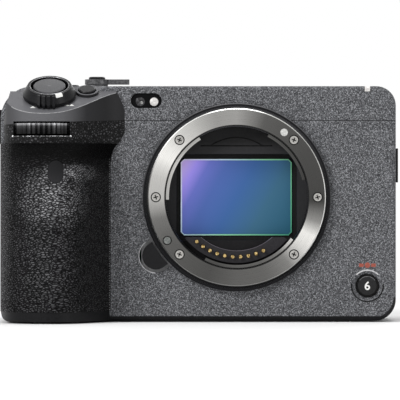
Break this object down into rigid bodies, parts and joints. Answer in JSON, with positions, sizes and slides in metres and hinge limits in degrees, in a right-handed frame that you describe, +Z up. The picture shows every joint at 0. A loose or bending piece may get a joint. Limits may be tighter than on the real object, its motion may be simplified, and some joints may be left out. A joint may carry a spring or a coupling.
{
  "type": "cinema camera",
  "caption": "Compact full-frame cinema camera body without a lens: steel bayonet mount, moulded grip, flat top with threaded sockets and shoe, and a side-hinged monitor.",
  "frame": {"origin": "mouth of the tripod socket in the base, under the optical axis", "axes": "+Z up, the lens looks along -Y, +X towards the port side"},
  "size_m": [0.1293, 0.084, 0.0797],
  "materials": {
    "grey_paint": "fine speckled dark grey paint on magnesium",
    "black_cover": "satin black moulding",
    "grip_rubber": "leather-grain moulded grip",
    "frame_plastic": "glass-filled moulding",
    "mount_steel": "fine turned steel",
    "screw_steel": "bright steel",
    "black_metal": "black anodised",
    "control_metal": "dark satin anodised, knurled where it is turned",
    "shutter_metal": "satin grey",
    "contact_gold": "gold plated",
    "inner_metal": "bare casting",
    "inner_black": "matt black against stray light",
    "blade_black": "matt black",
    "sensor_glass": "cover glass with blue to green sheen",
    "board_green": "solder mask",
    "battery_black": "plain wrapped pack",
    "dark_glass": "dark window",
    "lamp_white": "milky lens",
    "screen_glass": "screen cover glass",
    "door_rubber": "soft door",
    "button_plastic": "satin key",
    "foot_rubber": "soft foot",
    "insert_steel": "threaded insert"
  },
  "bodies": {
    "root": {"front_cover": "grey_paint", "top_cover": "grey_paint", "rear_cover": "grey_paint", "base_cover": "black_cover", "grip_top": "black_cover", "grip_cover": "grip_rubber", "grip_frame": "frame_plastic", "mount_bezel": "black_metal", "lens_mount": "mount_steel", "mount_screws": "screw_steel", "contact_block": "inner_black", "light_baffle": "inner_black", "chassis": "inner_metal", "shutter_frame": "inner_black", "sensor_base": "inner_metal", "main_board": "board_green", "cooling_duct": "inner_metal", "battery": "battery_black", "card_unit": "frame_plastic", "port_sockets": "screw_steel", "window_panes": "dark_glass", "tally_lamp": "lamp_white", "accessory_shoe": "screw_steel", "cover_screws": "screw_steel", "base_feet": "foot_rubber", "monitor_bracket": "black_metal", "thread_sockets": "insert_steel", "strap_lugs": "black_metal"},
    "shutter_button": {"shutter_button": "shutter_metal"},
    "zoom_lever": {"zoom_lever": "control_metal"},
    "deck_button": {"deck_button": "button_plastic"},
    "front_dial": {"front_dial": "control_metal"},
    "record_button": {"record_button": "button_plastic"},
    "power_lever": {"power_lever": "control_metal"},
    "front_record_button": {"front_record_button": "button_plastic"},
    "release_button": {"release_button": "button_plastic"},
    "lock_pin": {"lock_pin": "screw_steel"},
    "contact_pins": {"contact_pins": "contact_gold"},
    "shutter_blade_1": {"shutter_blade_1": "blade_black"},
    "shutter_blade_2": {"shutter_blade_2": "blade_black"},
    "shutter_blade_3": {"shutter_blade_3": "blade_black"},
    "sensor_frame": {"sensor_frame": "inner_metal"},
    "image_sensor": {"image_sensor": "sensor_glass"},
    "fan_rotor": {"fan_rotor": "frame_plastic"},
    "control_wheel": {"control_wheel": "control_metal"},
    "centre_button": {"centre_button": "button_plastic"},
    "joystick_gimbal": {"joystick_gimbal": "inner_metal"},
    "joystick": {"joystick": "button_plastic"},
    "rear_dial": {"rear_dial": "control_metal"},
    "menu_button": {"menu_button": "button_plastic"},
    "function_button": {"function_button": "button_plastic"},
    "playback_button": {"playback_button": "button_plastic"},
    "top_button_outer": {"top_button_outer": "button_plastic"},
    "top_button_inner": {"top_button_inner": "button_plastic"},
    "audio_door": {"audio_door": "door_rubber"},
    "data_door": {"data_door": "door_rubber"},
    "card_door": {"card_door": "grey_paint"},
    "battery_door": {"battery_door": "black_cover"},
    "monitor": {"monitor": "black_cover", "monitor_screen": "screen_glass"}
  },
  "joints": [
    {"name": "zoom_lever_turn", "type": "hinge", "parent": "root", "child": "zoom_lever", "pos_m": [-0.0601, -0.0244, 0.07249], "axis": [0, -0.4695, 0.8829], "range_deg": [-20, 20], "stiffness_Nm_per_rad": 0.05},
    {"name": "shutter_press", "type": "slide", "parent": "root", "child": "shutter_button", "axis": [0, 0.4695, -0.8829], "range_m": [0, 0.0012], "stiffness_N_per_m": 800},
    {"name": "deck_button_press", "type": "slide", "parent": "root", "child": "deck_button", "axis": [0, 0.4695, -0.8829], "range_m": [0, 0.0008], "stiffness_N_per_m": 800},
    {"name": "front_dial_turn", "type": "hinge", "parent": "root", "child": "front_dial", "pos_m": [-0.06235, -0.0255, 0.0621], "axis": [0, 0, 1], "continuous": true},
    {"name": "record_press", "type": "slide", "parent": "root", "child": "record_button", "axis": [0, 0, -1], "range_m": [0, 0.0008], "stiffness_N_per_m": 800},
    {"name": "power_lever_turn", "type": "hinge", "parent": "root", "child": "power_lever", "pos_m": [-0.0456, 0.005, 0.076], "axis": [0, 0, 1], "range_deg": [-35, 0]},
    {"name": "front_record_press", "type": "slide", "parent": "root", "child": "front_record_button", "axis": [0, 1, 0], "range_m": [0, 0.0008], "stiffness_N_per_m": 800},
    {"name": "release_press", "type": "slide", "parent": "root", "child": "release_button", "axis": [0, 1, 0], "range_m": [0, 0.0015], "stiffness_N_per_m": 800},
    {"name": "lock_pin_draw", "type": "slide", "parent": "root", "child": "lock_pin", "axis": [0, 1, 0], "range_m": [0, 0.0012]},
    {"name": "contact_press", "type": "slide", "parent": "root", "child": "contact_pins", "axis": [0, 1, 0], "range_m": [0, 0.0006], "stiffness_N_per_m": 800},
    {"name": "curtain_3_rise", "type": "slide", "parent": "root", "child": "shutter_blade_3", "axis": [0, 0, 1], "range_m": [0, 0.0259]},
    {"name": "curtain_2_rise", "type": "slide", "parent": "root", "child": "shutter_blade_2", "axis": [0, 0, 1], "range_m": [0, 0.01727]},
    {"name": "curtain_1_rise", "type": "slide", "parent": "root", "child": "shutter_blade_1", "axis": [0, 0, 1], "range_m": [0, 0.00863]},
    {"name": "stabiliser_side", "type": "slide", "parent": "root", "child": "sensor_frame", "axis": [1, 0, 0], "range_m": [-0.001, 0.001], "stiffness_N_per_m": 2000},
    {"name": "stabiliser_lift", "type": "slide", "parent": "sensor_frame", "child": "image_sensor", "axis": [0, 0, 1], "range_m": [-0.001, 0.001], "stiffness_N_per_m": 2000},
    {"name": "fan_turn", "type": "hinge", "parent": "root", "child": "fan_rotor", "pos_m": [0.04, -0.013, 0.025], "axis": [0, 1, 0], "continuous": true},
    {"name": "monitor_swing", "type": "hinge", "parent": "root", "child": "monitor", "pos_m": [0.0482, 0.02615, 0.037], "axis": [0, 0, -1], "range_deg": [0, 176]},
    {"name": "wheel_turn", "type": "hinge", "parent": "root", "child": "control_wheel", "pos_m": [-0.051, 0.026, 0.03], "axis": [0, 1, 0], "continuous": true},
    {"name": "centre_press", "type": "slide", "parent": "root", "child": "centre_button", "axis": [0, -1, 0], "range_m": [0, 0.0008], "stiffness_N_per_m": 800},
    {"name": "joystick_nod", "type": "hinge", "parent": "root", "child": "joystick_gimbal", "pos_m": [-0.0505, 0.0216, 0.054], "axis": [1, 0, 0], "range_deg": [-8, 8], "stiffness_Nm_per_rad": 0.02},
    {"name": "joystick_sway", "type": "hinge", "parent": "joystick_gimbal", "child": "joystick", "pos_m": [-0.0505, 0.0216, 0.054], "axis": [0, 0, 1], "range_deg": [-8, 8], "stiffness_Nm_per_rad": 0.02},
    {"name": "rear_dial_turn", "type": "hinge", "parent": "root", "child": "rear_dial", "pos_m": [-0.06, 0.0155, 0.0692], "axis": [0, 0, 1], "continuous": true},
    {"name": "menu_press", "type": "slide", "parent": "root", "child": "menu_button", "axis": [0, -1, 0], "range_m": [0, 0.0008], "stiffness_N_per_m": 800},
    {"name": "function_press", "type": "slide", "parent": "root", "child": "function_button", "axis": [0, -1, 0], "range_m": [0, 0.0008], "stiffness_N_per_m": 800},
    {"name": "playback_press", "type": "slide", "parent": "root", "child": "playback_button", "axis": [0, -1, 0], "range_m": [0, 0.0008], "stiffness_N_per_m": 800},
    {"name": "top_outer_press", "type": "slide", "parent": "root", "child": "top_button_outer", "axis": [0, 0, -1], "range_m": [0, 0.0008], "stiffness_N_per_m": 800},
    {"name": "top_inner_press", "type": "slide", "parent": "root", "child": "top_button_inner", "axis": [0, 0, -1], "range_m": [0, 0.0008], "stiffness_N_per_m": 800},
    {"name": "audio_door_swing", "type": "hinge", "parent": "root", "child": "audio_door", "pos_m": [0.0503, 0.006, 0.048], "axis": [0, 0, -1], "range_deg": [0, 100]},
    {"name": "data_door_swing", "type": "hinge", "parent": "root", "child": "data_door", "pos_m": [0.0503, 0.006, 0.021], "axis": [0, 0, -1], "range_deg": [0, 100]},
    {"name": "card_door_swing", "type": "hinge", "parent": "root", "child": "card_door", "pos_m": [-0.075, 0.0194, 0.029], "axis": [0, 0, -1], "range_deg": [0, 100]},
    {"name": "battery_door_swing", "type": "hinge", "parent": "root", "child": "battery_door", "pos_m": [-0.0487, -0.00765, 0.0017], "axis": [0, -1, 0], "range_deg": [0, 90]}
  ],
  "couplings": [
    {"joint": "lock_pin_draw", "follows": "release_press", "ratio": 0.8},
    {"joint": "curtain_2_rise", "follows": "curtain_3_rise", "ratio": 0.66667},
    {"joint": "curtain_1_rise", "follows": "curtain_3_rise", "ratio": 0.33333}
  ]
}
